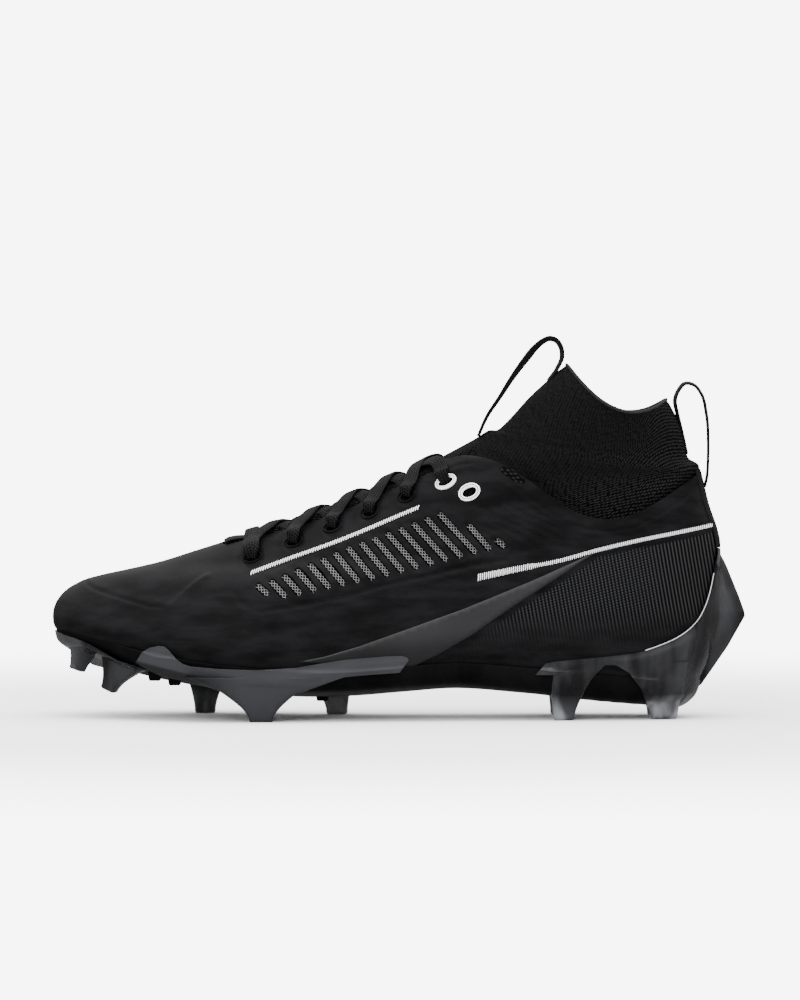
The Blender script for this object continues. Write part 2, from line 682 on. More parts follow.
def skin_relief(grid):
    """Outward shift of the skin, in metres: soft seams, borders, dimples and hand-made unevenness."""
    x, y, z = np.moveaxis(grid, -1, 0)
    outer = y < CENTRE[1]
    shift = sum(height * bell(line_distance(x, z, line), width * MM) for line, height, width in RELIEF)
    shift += 0.3 * bell(line_distance(x, z, SIDE_RIDGE), 1.6 * MM) * outer
    for number, (ex, ez) in enumerate(EYELET_POINTS):
        away = np.hypot(x - ex, z - ez)
        if number < LOW_EYELETS:
            shift += -0.75 * bell(away, 3.6 * MM) + 0.35 * bell(away - 4.9 * MM, 1.0 * MM)
        else:
            shift += -0.3 * bell(away, 5.0 * MM)
    rows = np.minimum.reduce([line_distance(x, z, vent_ends(i)) for i in range(VENT_COUNT)])
    shift += outer * (0.28 * bell(rows - 2.0 * MM, 0.9 * MM) - 0.3 * bell(rows, 1.5 * MM))
    toe_edge = side_points(TOE_BAND[1:10])
    over = z - np.interp(x, *toe_edge.T)
    front = soft_step(x, along(0.135), along(0.1))
    shift += front * soft_step(over, -1.6 * MM, 0.2 * MM) * soft_step(over, 13 * MM, 3 * MM)
    shift += 1.5 * bell(np.hypot(x - along(0.026), z - 0.34 * COLLAR_HEIGHT), 9.5 * MM)
    shift -= 0.35 * soft_step(panel_depth(x, z), 0, 1.2 * MM)
    waves = (
        np.sin(x * 95 + z * 40 + 0.6) * np.sin(z * 120 - x * 30 + 1.1)
        + 0.6 * np.sin(x * 210 - z * 160 + 2.0) * np.sin(z * 260 + x * 70)
    )
    creased = bell(np.hypot(x - along(0.70), (z - 0.53 * COLLAR_HEIGHT) * 1.3), 16 * MM)
    creases = np.sin(x * 900 + z * 1500 + 2 * np.sin(z * 300))
    return (shift + 0.14 * waves + 0.22 * creased * creases) * MM


def skin_values(grid):
    """Masks of the ribbed heel panel and its knitted part, and the count of ribs across it."""
    x, z = grid[..., 0], grid[..., 2]
    height = z / COLLAR_HEIGHT
    ribs = soft_step(panel_depth(x, z), 0.3 * MM, 1.6 * MM) * (0.15 + 0.85 * soft_step(height, 0.2, 0.33))
    knit = soft_step(share_of(x), 0.93, 0.88) * soft_step(height, 0.24, 0.36)
    return {"ribs": ribs, "knit": knit, "rib_phase": (x + 0.18 * (z - 0.4 * COLLAR_HEIGHT)) / RIB_PITCH}


def slot_outline(index, width, count=5):
    """Round-ended slot of a vent, in the side view."""
    top, end, run, across = vent_frame(index)
    radius = width / 2
    points = []
    for centre, start in ((end - run * radius, 0.0), (top + run * radius, math.pi)):
        for turn in np.linspace(-math.pi / 2, math.pi / 2, count) + start:
            points.append(centre + run * radius * math.cos(turn) + across * radius * math.sin(turn))
    return points


def skin():
    levels = np.concatenate([np.linspace(-0.8, 2, 38), np.linspace(2, SKIN_LEVEL, 118)[1:]])
    outer = np.linspace(0, math.pi, 300, endpoint=False)
    inner = np.linspace(math.pi, 2 * math.pi, 130, endpoint=False)
    angles = np.concatenate([outer, inner])
    grid = body(levels, angles)
    obj = shell("upper_skin", levels, angles, skin_relief(grid), -SKIN_WALL, 16, skin_values(grid))
    xs = along(np.linspace(TOP_LINE[0][0], TOP_LINE[-1][0], 90))
    above = [*zip(xs, top_line(xs)), (xs[-1], FAR_UP), (xs[0], FAR_UP)]
    xs = along(np.linspace(THROAT_PLAN[0][0], THROAT_PLAN[-1][0], 40))
    half = [*zip(xs, throat_half(xs))]
    slot = [(x, CENTRE[1] + y) for x, y in half] + [(x, CENTRE[1] - y) for x, y in reversed(half)]
    boolean(obj, [
        prism("top_cut", above, -REACH, REACH),
        prism("throat_cut", slot, 0.35 * COLLAR_HEIGHT, FAR_UP, "Z"),
    ])
    pins = []
    for x, z in EYELET_POINTS:
        for side in SIDES:
            point, normal = on_side(x, z, side)
            pins.append(loft("pin", [oval(point + normal * d, normal, *HOLE, 20) for d in (-4 * MM, 4 * MM)]))
    boolean(obj, [joined("pins", pins)])
    cuts = []
    for index in range(VENT_COUNT):
        outline = slot_outline(index, 1.32 * VENT_WIDTH)
        cuts.append(loft("vent", [[lifted(x, z, -1, d) for x, z in outline] for d in (-VENT_DEPTH, 3 * MM)]))
    boolean(obj, [joined("vents", cuts)])
    obj.data.shade_smooth()
    return dress(obj, SKIN, ["upper"], sharp=50)


def oval(centre, normal, a, b, count, lean=0.42):
    """Ring of points round a surface point, its long axis leaning up towards the heel."""
    normal = Vector(normal)
    along_way = Vector((1, 0, lean))
    first = (along_way - normal * along_way.dot(normal)).normalized()
    second = normal.cross(first)
    return [Vector(centre) + first * a * math.cos(t) + second * b * math.sin(t) for t in turn_angles(count)]


def vent_mesh():
    """Pale zigzag threads over a dark floor, seen at the bottom of the vents."""
    floors, faces, uvs, paths = [], [], [], []
    for index in range(VENT_COUNT):
        top, end, run, across = vent_frame(index)
        length = np.linalg.norm(end - top)
        steps = np.linspace(-0.3 * MM, length + 0.3 * MM, 12)
        faces += list(grid_faces(len(steps), 4, len(floors), closed=False))
        for d in steps:
            for w in np.linspace(-0.7, 0.7, 4) * VENT_WIDTH:
                floors.append(lifted(*(top + run * d + across * w), -1, -1.05 * MM))
                uvs.append((w, d))
        for k in range(3):
            path = []
            for i, d in enumerate(np.arange(0.1 * MM, length, 0.42 * MM)):
                swing = (0, 1, 0, -1)[i % 4] * (1 if k % 2 else -1)
                w = (k - 0.5) * 0.8 * MM + 0.37 * MM * swing
                height = (-0.8 + 0.08 * math.cos(i * math.pi)) * MM
                path.append(lifted(*(top + run * d + across * w), -1, height))
            paths.append(path)
    dress(from_arrays("vent_floor", floors, faces, np.array(uvs)), VENT_DARK)
    return dress(from_arrays("vent_mesh", *bundle(paths, 0.16 * MM, 5)), MESH_THREAD)


# Knit collar, tongue and insole


def sock():
    levels = np.linspace(4.0, TOP_LEVEL, 150)
    angles = turn_angles(260)
    grid = body(levels, angles)
    x, y, z = np.moveaxis(grid, -1, 0)
    over = z - top_line(x)
    free = np.where(x < along(0.56), 0, soft_step(over, 0.5 * MM, 7 * MM))
    folds = 0.5 * np.sin(z * 210 + x * 120 + 1.0) * bell(over - 14 * MM, 12 * MM) + 0.25 * np.sin(x * 190 - z * 90)
    raised = soft_step(throat_half(x) - np.abs(y - CENTRE[1]), 0.6 * MM, 3.2 * MM) * (z > 0.3 * COLLAR_HEIGHT)
    swell = np.interp(share_of(x), (0.27, 0.31, 0.42, 0.5), (1.5, 2.7, 2.5, 1.5)) * MM
    bulge = bell(over - 3.5 * MM, 3.2 * MM) * soft_step(x, along(0.86), along(0.93))
    rim = soft_step(levels, 11.6, TOP_LEVEL)[:, None]
    outer = (swell * raised - SKIN_WALL - FIT_GAP) * (1 - free)
    outer += (0.5 * folds * free + 1.5 * bulge - 0.5 * rim**3) * MM
    obj = shell("knit_collar", levels, angles, outer, outer - KNIT_WALL, inner_step=4)
    shares = np.linspace(0.60, TOP_LINE[-1][0], 40)
    xs = along(shares)
    cut = [*zip(xs, top_line(xs) - np.interp(shares, (0.645, 0.69), (24, 9)) * MM)]
    front, low = along(0.05), -0.1 * COLLAR_HEIGHT
    rear = [p for p in cut if p[0] > along(0.75)]
    behind = [*rear, (rear[-1][0], low), (rear[0][0], low)]
    aside = [(front, cut[0][1]), *cut, (cut[-1][0], low), (front, low)]
    boolean(obj, [
        prism("rear", behind, -REACH, REACH),
        prism("left", aside, -REACH, CENTRE[1] - TONGUE_HALF),
        prism("right", aside, CENTRE[1] + TONGUE_HALF, REACH),
    ])
    return dress(obj, KNIT, ["sock"], sharp=60)


def collar_rim():
    """Pale bound edge of the collar."""
    angles = turn_angles(240)
    grid = body(np.linspace(RIM_LEVEL, TOP_LEVEL, 8), angles)
    out = grid_normals(grid)[-1]
    up = unit(grid[-1] - grid[-2])
    centre = grid[-1] - out * 0.5 * KNIT_WALL
    turns = turn_angles(12)
    half = 0.5 * KNIT_WALL + 0.3 * MM
    rings = np.array([centre + out * math.cos(t) * half + up * math.sin(t) * 0.75 * MM for t in turns])
    count = len(turns)
    ring = np.arange(len(angles)) * count
    ahead = np.roll(ring, -1)
    faces = []
    for k in range(count):
        m = (k + 1) % count
        faces += list(np.stack([ring + k, ahead + k, ahead + m, ring + m], -1))
    uvs = np.stack([np.repeat(run_of(centre), count), np.tile(np.arange(count) * 0.8 * MM, len(angles))], -1)
    rim = from_arrays("collar_rim", rings.transpose(1, 0, 2).reshape(-1, 3), faces, uvs)
    return dress(clean(rim), RIM)


def insole():
    levels = np.linspace(SPINE, -0.4, 16)
    offset = -(SKIN_WALL + FIT_GAP)
    obj = shell("insole_pad", levels, turn_angles(160), offset, offset - INSOLE_WALL)
    return dress(obj, LINING, ["insole"])


# Sole plate, clips and studs


def plate_outer(levels):
    thin = np.clip(np.asarray(levels) / PLATE_TOP, 0, 1)
    return FIT_GAP + PLATE_WALL + (PLATE_RIM - PLATE_WALL) * thin**1.5


def clear_offset(levels):
    levels = np.asarray(levels)
    edge = soft_step(levels, PLATE_TOP + 0.02, PLATE_TOP + 0.12)
    return (plate_outer(levels) + FIT_GAP) * (1 - edge) + FIT_GAP * edge


TREAD_PITCH = 7 * MM
TREAD_DEPTH = 0.25 * MM
# Length share, and share of BALL_WIDTH across
LUGS = ((0.155, -0.14), (0.185, -0.17), (0.15, 0.2), (0.27, 0.02), (0.345, -0.02), (0.405, 0.02))


def plate():
    levels = np.linspace(SPINE, PLATE_TOP, 30)
    angles = turn_angles(240)
    x = body(levels, angles)[..., 0]
    ribs = bell(levels[:, None] + 0.9, 0.5) * (0.5 + 0.5 * np.sin(x * 2 * math.pi / TREAD_PITCH))
    outer = plate_outer(levels)[:, None] + TREAD_DEPTH * ribs
    obj = shell("sole_plate", levels, angles, outer, FIT_GAP)
    blocks = []
    corners = ((-1, -0.8), (-0.8, -1), (0.8, -1), (1, -0.8), (1, 0.8), (0.8, 1), (-0.8, 1), (-1, 0.8))
    for share, across in LUGS:
        x, y = along(share), across * BALL_WIDTH + CENTRE[1]
        top = under_height(x, y) - FIT_GAP - 0.4 * PLATE_WALL
        blocks.append(loft("lug", [
            [(x + a * 3 * MM * grow, y + b * 7 * MM * grow, top - depth * MM) for a, b in corners]
            for depth, grow in ((4.0, 0.72), (3.6, 0.8), (0, 1.0))
        ]))
    boolean(obj, blocks, "UNION")
    return dress(obj, PLATE, ["plate"], sharp=40)


def low_levels(top, count):
    """Levels from the spine to the plate's edge, and on to a top level."""
    return np.concatenate([np.linspace(SPINE, PLATE_TOP, 26), np.linspace(PLATE_TOP + 0.03, top, count)])


def clear_grid(wall):
    """Grid of the surface that clips and studs stand clear of, pushed out by their wall."""
    levels = low_levels(5.0, 50)
    grid = body(levels, turn_angles(280))
    return grid + grid_normals(grid, closed_spine=True) * (clear_offset(levels) + wall)[:, None, None]


def make_envelope():
    """Solid that is cut out of every clip and stud, so that they stay clear of the shoe."""
    points = clear_grid(0)
    rows, columns = points.shape[:2]
    faces = [*grid_faces(rows, columns), list(range((rows - 1) * columns, rows * columns))]
    return clean(from_arrays("envelope", points.reshape(-1, 3), faces))


def copy_of(obj):
    made = obj.copy()
    made.data = obj.data.copy()
    bpy.context.scene.collection.objects.link(made)
    return made


STUD_THICKNESS = 6.5 * MM
STUD_ROOT = 13 * MM
STUD_PROUD = 0.9 * MM
STUD_SINK = 1.2 * MM
STUD_CORNER = 0.42
# Length share, side, inset, tip length, front flare, back flare, pitch, lift, height, wraps up the side
STUDS = {
    "lateral": (0.3155, -1, 4.5 * MM, 10 * MM, 2.7, 2.4, 0, 0, 0.126, True),
    "toe": (0.037, 1, 37 * MM, 6 * MM, 0.5, 0.5, 20, 0.135, 0.066, False),
    "front": (0.0863, -1, 5 * MM, 6.6 * MM, 1.5, 2.0, 24, 0.082, 0.118, False),
    "medial_front": (0.225, 1, 6 * MM, 9 * MM, 0.9, 1.3, 0, 0, 0.166, False),
    "medial_middle": (0.318, 1, 5.5 * MM, 9 * MM, 1.2, 1.4, 0, 0, 0.166, False),
    "medial_rear": (0.426, 1, 6 * MM, 9 * MM, 2.0, 0.6, 0, 0, 0.166, False),
    "heel_front": (0.7655, -1, 3.5 * MM, 9 * MM, 0.45, 1.7, 0, 0, 0.1636, True),
    "heel_rear": (0.9155, -1, 4 * MM, 11 * MM, 1.5, 0.25, 0, 0, 0.1636, True),
}
# Height, and the shares of its flare and of its thickness that a stud has there
STUD_PROFILE = ((0, 0, 0), (0.06, 0, 0), (0.25, 0.08, 0.1), (0.5, 0.28, 0.32), (0.75, 0.55, 0.6), (1, 1, 1))

WALL_TREE = grid_tree(clear_grid(CLIP_WALL))


def edge_y(x, side):
    return on_side(x, under_height(x, CENTRE[1]) + 3 * PLATE_WALL, side)[0].y


def wall_hit(start, way):
    """Where a ray meets the clips' outer surface."""
    return WALL_TREE.ray_cast(Vector(start), Vector(way))[0]


def wall_reach(x, edge, side, inset, tall, height):
    """How far out of a stud's middle its outer face may stand to lie on the clip's surface."""
    wall = wall_hit((x, side * FAR_ASIDE, height * tall), (0, -side, 0))
    if wall is None:
        return 0.0
    return (edge - wall.y) * side - inset - STUD_THICKNESS / 2 - STUD_PROUD * (1 - height) + STUD_SINK * height


def stud(key, side=None):
    """One stud as a smooth loft: flat tip with rounded corners, flaring into the sole."""
    share, own_side, inset, tip, front, back, pitch, lift, tall, wraps = STUDS[key]
    side = side or own_side
    x = along(share)
    tall, lift = tall * COLLAR_HEIGHT, lift * COLLAR_HEIGHT
    edge = edge_y(x, side)
    step = 0.5 * tip
    yaw = math.atan2(edge_y(x + step, side) - edge_y(x - step, side), 2 * step)
    turn = Matrix.Rotation(0.6 * yaw, 3, "Z") @ Matrix.Rotation(math.radians(pitch), 3, "Y")
    knots, flares, thicks = np.array(STUD_PROFILE).T
    half = STUD_THICKNESS / 2
    rings = []
    for height in np.concatenate([[0, 0.012, 0.03], np.linspace(0.07, 1, 22)]):
        flare, thick = (float(smooth(knots, values, height)) for values in (flares, thicks))
        outer = -half * (1 + thick)
        if wraps:
            line = (wall_reach(x, edge, side, inset, tall, 1.0) + half) * height**0.9 - half
            reach = wall_reach(x, edge, side, inset, tall, height)
            outer = 0.5 * (line + reach - math.hypot(line - reach, 0.7 * MM))
        inner = half + thick * (STUD_ROOT / 2 - half)
        ahead, behind = -tip / 2 - flare * front * tip, tip / 2 + flare * back * tip
        pinch = 0.5 * MM * (1 - min(height / 0.03, 1))
        ring = []
        for angle in turn_angles(28):
            c, s = (math.copysign(abs(w) ** STUD_CORNER, w) for w in (math.cos(angle), math.sin(angle)))
            run = (behind + ahead) / 2 + ((behind - ahead) / 2 - pinch) * c
            depth = (inner + outer) / 2 + ((inner - outer) / 2 - pinch) * s
            local = turn @ Vector((run, -depth * side, height * tall))
            ring.append((x + local.x, edge - side * (inset + half) + local.y, lift + local.z))
        rings.append(ring)
    return loft("stud_" + key, rings)


TOE_BAND = pairs(
    -50, 262, 4, 242.5, 20, 234, 38, 226, 58, 212, 76, 195, 95, 175, 112, 160, 124, 149, 130, 140, 118, 80,
    -50, 80,
)
WING = pairs(
    128.5, 165, 133.5, 178, 139, 194, 150, 207, 163, 213, 173, 211.5, 181, 199, 190, 178, 200, 164, 212, 157,
    250, 151.5, 312, 148, 368, 154, 400, 164, 440, 175.5, 500, 184, 525, 185.5, 533, 180, 534.5, 172, 521, 138,
    472, 132, 440, 127, 418, 113, 390, 94, 360, 70, 330, 50, 300, 45, 270, 62, 240, 94, 215, 108, 190, 118,
    165, 128, 142, 150,
)
HEEL_CLIP = pairs(
    722, 130, 738, 162, 752, 168, 800, 176, 850, 185, 879, 193, 909, 211, 931, 228, 950, 250, 967, 282,
    978, 320, 988, 373, 994, 423, 999, 478, 1100, 478, 1100, -50, 910, -50, 880, 90, 862, 135, 842, 157,
    800, 157, 750, 130,
)
HEEL_EDGE = side_points(pairs(
    886, 197.5, 909, 212.5, 931, 229.5, 950, 251.5, 967, 283.5, 978, 321.5, 987, 374.5, 991, 410,
))
# Height share, length share and width share of the keel's edge
KEEL = (
    (0.054, 0.943, 0.5), (0.065, 0.957, 0.7), (0.093, 0.975, 0.85), (0.149, 0.996, 1.0), (0.201, 1.0148, 1.0),
    (0.275, 1.037, 1.0), (0.287, 1.0404, 1.0), (0.30, 1.0395, 1.0), (0.346, 1.0306, 0.95), (0.436, 1.011, 0.7),
    (0.477, 0.999, 0.35),
)
KEEL_EDGE = 2.2 * MM
# Height shares, and how far forward the clip reaches there
HEEL_REACH = (
    (0.0, 0.185, 0.193, 0.211, 0.228, 0.25, 0.282, 0.32, 0.373, 0.423, 0.478),
    (0.85, 0.85, 0.879, 0.909, 0.931, 0.95, 0.967, 0.978, 0.988, 0.994, 0.999),
)
KEEL_ROOT = 18 * MM
KEEL_DEPTH = 30 * MM
KEEL_SPARE = 0.12 * MM
# Steps back from the keel's edge in mm, and its half width there as a share of KEEL_EDGE
KEEL_NOSE = ((0, 0.55), (0.3, 0.9), (1.0, 1.15), (2.2, 1.4), (3.6, 1.7))


def clip(name, outline, low_y, high_y, levels, mounted, envelope):
    """Wall on the shoe's surface inside a side outline, thinner at its edge, joined with what it carries."""
    inner = clear_offset(levels)[:, None]
    angles = turn_angles(300)
    grid = body(levels, angles)
    border = side_points((*outline, outline[0]))
    away = soft_step(line_distance(grid[..., 0], grid[..., 2], border), 0, CLIP_EDGE)
    wall = shell(name, levels, angles, inner + CLIP_WALL * (0.45 + 0.55 * away), inner - CLIP_SINK)
    boolean(wall, [prism("outline", side_points(outline), low_y, high_y)], "INTERSECT")
    boolean(wall, mounted, "UNION")
    boolean(wall, [copy_of(envelope)])
    wall.data.shade_smooth()
    return wall


def keel_flank(tip, z, width, side):
    """Half outline of the keel at one height: a thin nose that runs out into the clip's own wall."""
    nose = [(step * MM, KEEL_EDGE * share) for step, share in KEEL_NOSE]
    begin, start_half = nose[-1]
    end, half, slope = KEEL_DEPTH, KEEL_EDGE + width * 0.5 * KEEL_ROOT, 0.4
    rear = wall_hit((UPPER_LENGTH, CENTRE[1], z), (-1, 0, 0))
    if rear is not None:
        edge_x = along(np.interp(z / COLLAR_HEIGHT, *HEEL_REACH))
        join = min(max(rear.x - edge_x - 1.0 * MM, 0.8 * MM), 9 * MM)
        hits = [
            wall_hit((rear.x - deep, side * FAR_ASIDE, z), (0, -side, 0))
            for deep in (join - 0.5 * MM, join + 0.5 * MM)
        ]
        if None not in hits:
            spread = [abs(hit.y - CENTRE[1]) for hit in hits]
            end = max(tip - rear.x + join, begin + 0.5 * MM)
            half, slope = sum(spread) / 2 + KEEL_SPARE, (spread[1] - spread[0]) / MM
    run = end - begin
    points = list(nose)
    for u in np.linspace(0, 1, 13)[1:]:
        rise = cubic(u, start_half, half, 0.28 * run, min(slope, 1.4) * run)
        points.append((begin + run * u, max(rise, start_half)))
    return [*points, (end + 1.5 * MM, half - 0.9 * MM), (end + 8 * MM, 0.5 * half)]


def keel():
    heights, lengths, widths = np.array(KEEL).T
    rings = []
    for height in np.unique(np.concatenate([heights, np.linspace(heights[0], heights[-1], 40)])):
        x, z = along(np.interp(height, heights, lengths)), height * COLLAR_HEIGHT
        left, right = (keel_flank(x, z, np.interp(height, heights, widths), side) for side in SIDES)
        outline = [(d, -w) for d, w in left[::-1]] + right
        rings.append([(x - back, y + CENTRE[1], z) for back, y in outline])
    return loft("keel", rings)


def pale_tips(obj, pale=1.0):
    """Marks how far a stud piece may turn pale near the ground."""
    mesh = obj.data
    mesh.attributes.new("pale", "FLOAT", "POINT").data.foreach_set("value", np.full(len(mesh.vertices), pale))
    return obj


def clips():
    envelope = make_envelope()
    fine, tall = low_levels(2.0, 30), low_levels(4.4, 70)
    toe = clip("toe_band", TOE_BAND, -REACH, REACH, fine, [stud("toe"), stud("front")], envelope)
    wing = clip("side_wing", WING, -REACH, -0.25 * REACH, fine, [stud("lateral")], envelope)
    mounted = [keel()] + [stud(key, side) for key in ("heel_front", "heel_rear") for side in SIDES]
    heel = clip("heel_wrap", HEEL_CLIP, -REACH, REACH, tall, mounted, envelope)
    dress(pale_tips(toe, 0.4), CLEAR, ["toe_bumper"], sharp=38)
    dress(wing, WING_GREY, ["lateral_wing"], sharp=38)
    dress(pale_tips(heel), HEEL_CLEAR, ["heel_clip"], sharp=38)
    for key in ("medial_front", "medial_middle", "medial_rear"):
        obj = boolean(stud(key), [copy_of(envelope)])
        obj.name = "inner_" + key
        dress(pale_tips(obj), CLEAR, ["stud_" + key], sharp=40)
    bpy.data.objects.remove(envelope)


# Overlay on the quarter


def patch(name, outline, thickness, edge, spacing, base=0.1 * MM):
    """Thin overlay inside an outline of the outer side, with rounded edges, laid on the body."""
    closed = np.vstack([outline, outline[:1]])
    run = run_of(closed)
    steps = np.arange(0, run[-1], spacing * 0.8)
    rim = np.column_stack([np.interp(steps, run, closed[:, i]) for i in (0, 1)])
    ahead = unit(np.roll(rim, -1, axis=0) - np.roll(rim, 1, axis=0))
    way = np.column_stack([-ahead[:, 1], ahead[:, 0]])
    if not inside(*(rim[0] + way[0] * 0.1 * MM), outline):
        way = -way
    points, heights = [rim], [np.zeros(len(rim))]

    def add(ring, margin, height):
        kept = ring[inside(*ring.T, outline) & (line_distance(*ring.T, closed) > margin)]
        points.append(kept)
        heights.append(np.full(len(kept), height))

    for share in (0.3, 1.0):
        add(rim + way * edge * share, edge * share * 0.8, thickness * math.sqrt(1 - (1 - share) ** 2))
    xs, zs = np.meshgrid(*(np.arange(rim[:, i].min(), rim[:, i].max(), spacing) for i in (0, 1)))
    add(np.column_stack([xs.ravel(), zs.ravel()]), edge + 0.4 * spacing, thickness)
    flat, heights = np.concatenate(points), np.concatenate(heights)
    edges = [(i, (i + 1) % len(rim)) for i in range(len(rim))]
    verts, _, tris, origin, _, _ = delaunay_2d_cdt([Vector(p) for p in flat], edges, [], 1, 1e-7)
    placed = [
        lifted(vert.x, vert.y, -1, base + (heights[source[0]] if source else 0.0))
        for vert, source in zip(verts, origin)
    ]
    return clean(from_arrays(name, placed, tris, np.array([tuple(v) for v in verts])))


def quarter_band():
    outline = np.vstack([BAND_TOP, BAND_LOW[1:]])
    obj = patch("side_band", outline, 0.55 * MM, 0.5 * MM, 1.6 * MM)
    return dress(obj, BAND, ["quarter_band"])


# Straps, threads and rings


def strap(name, points, normals, widths, wall, section=14, power=0.5):
    """Flat strap with rounded edges along a line. Widths may change along it."""
    points, normals = np.asarray(points, float), np.asarray(normals, float)
    widths = np.broadcast_to(widths, len(points))
    ahead = unit(np.gradient(points, axis=0))
    across = unit(np.cross(ahead, normals))
    up = np.cross(across, ahead)
    turns = turn_angles(section)
    a, b = (np.sign(wave) * np.abs(wave) ** power * 0.5 for wave in (np.cos(turns), np.sin(turns)))
    rings = (
        points[:, None]
        + across[:, None] * (a[None, :, None] * widths[:, None, None])
        + up[:, None] * (b[None, :, None] * wall)
    )
    uvs = np.stack([np.repeat(run_of(points), section), (a[None] * widths[:, None]).ravel()], -1)
    return clean(from_arrays(name, rings.reshape(-1, 3), capped_faces(len(points), section), uvs), merge=False)


LACE_WIDTH = 6.2 * MM
LACE_WALL = 1.2 * MM
LOOP_WIDTH = 9 * MM
LOOP_WALL = 1.25 * MM
TAPE_HALF = 9 * MM
RING_WIDTH = 0.8
# Profile of an eyelet ring: share of RING_WIDTH in from its middle line, and height, in mm
RING_PROFILE = (
    (-1.0, -0.9), (-1.0, 0.35), (-0.82, 0.66), (-0.5, 0.78), (-0.3, 0.72), (-0.24, 0.1), (0.24, 0.1), (0.32, 0.72),
    (0.5, 0.78), (0.8, 0.6), (1.0, 0.2), (1.0, -0.9),
)


def lace_path(keys):
    """Points, normals and widths of a lace through keys of a point, a normal and a width share."""
    raw, leans, shares = zip(*keys)
    points = curve_points(raw, 0.7 * MM)
    run = run_of(np.array([tuple(p) for p in raw]))
    at = np.linspace(0, run[-1], len(points))
    return points, smooth(run, [tuple(n) for n in leans], at), np.interp(at, run, shares) * LACE_WIDTH


def through(hole, normal, *steps):
    """Keys of a lace at an eyelet. A step is its lift, its shift in X and Z in mm, and a width share."""
    return [
        (hole + normal * lift * MM + Vector((dx, 0, dz)) * MM, normal, width) for lift, dx, dz, width in steps
    ]


def lace(name, start, end, side, lift):
    """One strap out of its own eyelet, over the tongue and under the other side's edge."""
    x0, z0 = EYELET_POINTS[start]
    x1, z1 = EYELET_POINTS[end]
    run_x = x1 - x0
    keys = through(
        *on_side(x0, z0, side), (-2.2, 0, 0, 0.62), (0.5, 0, 0, 0.74), (1.9, 0.02 * run_x / MM, 2.2, 0.92)
    )
    ends_in_ring = end == LOW_EYELETS
    peak = 0.44 if ends_in_ring else 0.66
    rests = [(0.12, 1.25, 1.9), (0.55 * peak, 0.6, 1.2 + lift), (peak, -0.15, 1.2 + lift)]
    rests += [(0.82, -0.8, 2.2), (0.93, -1.35, 2.0)] if ends_in_ring else [
        (0.83, -0.5, 0.3), (0.92, -0.85, -1.1), (0.98, -1.35, -2.6),
    ]
    for share, out, rise in rests:
        x = x0 + share * run_x
        point, lean = on_top(x, CENTRE[1] + side * out * throat_half(x))
        keys.append((point + lean * rise * MM, lean, 1.0))
    if ends_in_ring:
        keys += through(
            *on_side(x1, z1, -side), (2.5, -1.4, 3.0, 0.95), (1.3, -0.5, 0.9, 0.8), (-2.2, 0.2, -0.4, 0.6)
        )
    return strap(name, *lace_path(keys), LACE_WALL)


def lace_bar():
    """The lowest strap, straight across the throat."""
    x0, z0 = EYELET_POINTS[0]
    keys = []
    for side in SIDES:
        edge, lean = on_top(x0 - 0.6 * MM, CENTRE[1] + side * (throat_half(x0) + 2.5 * MM))
        leg = through(*on_side(x0, z0, side), (-2.2, 0, 0, 0.62), (0.6, 0, 0, 0.75), (2.0, -0.5, 1.8, 0.95))
        leg.append((edge + lean * 1.6 * MM, lean, 1.0))
        keys += leg if side < 0 else leg[::-1]
        if side < 0:
            top, lean = on_top(x0, CENTRE[1])
            keys.append((top + lean * 2.0 * MM, lean, 1.0))
    return strap("lace_bar_woven", *lace_path(keys), LACE_WALL)


def laces():
    dress(lace_bar(), LACE, ["lace_bar"])
    for start in range(LOW_EYELETS):
        number = start + 1
        upper = lace(f"lace_over_{number}", start, number, -1, 0.9)
        dress(upper, LACE, [f"lace_crossing_{number}"])
        dress(lace(f"lace_under_{number}", start, number, 1, -0.35), LACE)


def tube(points, radius, section):
    """Round thread along a line, as arrays."""
    points = np.asarray(points, float)
    ahead = np.gradient(points, axis=0)
    ahead /= np.maximum(np.linalg.norm(ahead, axis=1, keepdims=True), 1e-9)
    side = unit(np.cross(ahead, (0.13, 0.97, 0.21)))
    up = np.cross(ahead, side)
    turns = turn_angles(section)[None, :, None]
    rings = points[:, None] + radius * (np.cos(turns) * side[:, None] + np.sin(turns) * up[:, None])
    faces = capped_faces(len(points), section)
    faces[-2].reverse()
    return rings.reshape(-1, 3), faces


def bundle(paths, radius, section):
    """Several threads as the arrays of one mesh."""
    verts, faces, start = [], [], 0
    for path in paths:
        ring, quads = tube(path, radius, section)
        faces += [[j + start for j in quad] for quad in quads]
        verts.append(ring)
        start += len(ring)
    return np.concatenate(verts), faces


def thread_row(name, line, widths, pitch, radius, lean):
    """Close zigzag stitches across a line of the outer side, as one mesh.

    The widths are a table of shares of the line and the widths there.
    """
    line = curve_points(line, pitch)
    ahead = unit(np.gradient(line, axis=0))
    across = np.column_stack([-ahead[:, 1], ahead[:, 0]])
    paths = []
    for i, (centre, way, lead) in enumerate(zip(line, across, ahead)):
        half = 0.5 * float(np.interp(i / (len(line) - 1), *widths))
        half += 0.08 * half * math.sin(i * 2.7)
        path = []
        for t in np.linspace(-1, 1, 7):
            flat = centre + way * half * t + lead * lean * pitch * t
            lift = 0.25 * MM + radius * (1.25 * math.sqrt(max(1 - t * t, 0)) - 0.35)
            path.append(lifted(*flat, -1, lift))
        paths.append(path)
    return dress(from_arrays(name, *bundle(paths, radius, 7)), THREAD)


